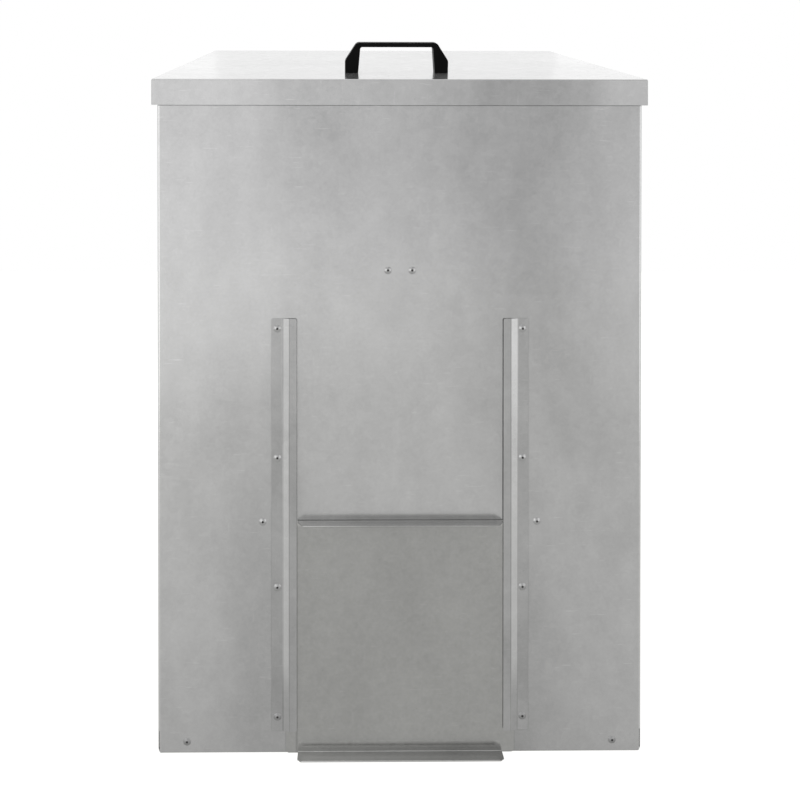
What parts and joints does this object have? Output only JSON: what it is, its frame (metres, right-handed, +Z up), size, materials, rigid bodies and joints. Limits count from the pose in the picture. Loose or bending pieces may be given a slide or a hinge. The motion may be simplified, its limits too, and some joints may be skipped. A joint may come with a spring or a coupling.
{
  "type": "coal bunker",
  "caption": "Tall galvanised sheet coal bunker with a sloped hinged lid, a bridge handle, and a hatch that slides up between guide rails over a low mouth.",
  "frame": {"origin": "centre of the base, at ground level", "axes": "+Z up, -Y towards the front with the hatch, +X to the right seen from the front"},
  "size_m": [0.614, 0.6351, 0.9766],
  "materials": {
    "galvanised_sheet": "hot-dip galvanised, faint spangle, satin",
    "rivet": "plain, slightly shiny",
    "zinc_fittings": "bright zinc plated",
    "black_plastic": "black, fine satin"
  },
  "bodies": {
    "bin": {"back_panel": "galvanised_sheet", "baffle_rivets": "rivet", "floor_pan": "galvanised_sheet", "floor_rivets_back": "rivet", "floor_rivets_front": "rivet", "floor_rivets_left": "rivet", "floor_rivets_right": "rivet", "front_panel": "galvanised_sheet", "hatch_baffle": "galvanised_sheet", "hatch_stop_rivets": "rivet", "hinge_body_leaf_left": "zinc_fittings", "hinge_body_leaf_right": "zinc_fittings", "hinge_body_rivets_left": "rivet", "hinge_body_rivets_right": "rivet", "hinge_pin_left": "zinc_fittings", "hinge_pin_right": "zinc_fittings", "rail_left": "galvanised_sheet", "rail_right": "galvanised_sheet", "rail_rivets_left": "rivet", "rail_rivets_right": "rivet", "seam_rivets_back_left": "rivet", "seam_rivets_back_right": "rivet", "seam_rivets_front_left": "rivet", "seam_rivets_front_right": "rivet", "side_panel_left": "galvanised_sheet", "side_panel_right": "galvanised_sheet"},
    "lid": {"handle": "black_plastic", "handle_screw_left": "zinc_fittings", "handle_screw_right": "zinc_fittings", "handle_washer_left": "zinc_fittings", "handle_washer_right": "zinc_fittings", "hinge_lid_leaf_left": "zinc_fittings", "hinge_lid_leaf_right": "zinc_fittings", "hinge_lid_rivets_left": "rivet", "hinge_lid_rivets_right": "rivet", "lid_tray": "galvanised_sheet"},
    "hatch": {"hatch": "galvanised_sheet"}
  },
  "joints": [
    {"name": "lid_hinge", "type": "hinge", "parent": "bin", "child": "lid", "pos_m": [0, 0.30375, 0.94095], "axis": [-1, 0, 0], "range_deg": [0, 150]},
    {"name": "hatch_slide", "type": "slide", "parent": "bin", "child": "hatch", "axis": [0, 0, 1], "range_m": [0, 0.303]}
  ]
}
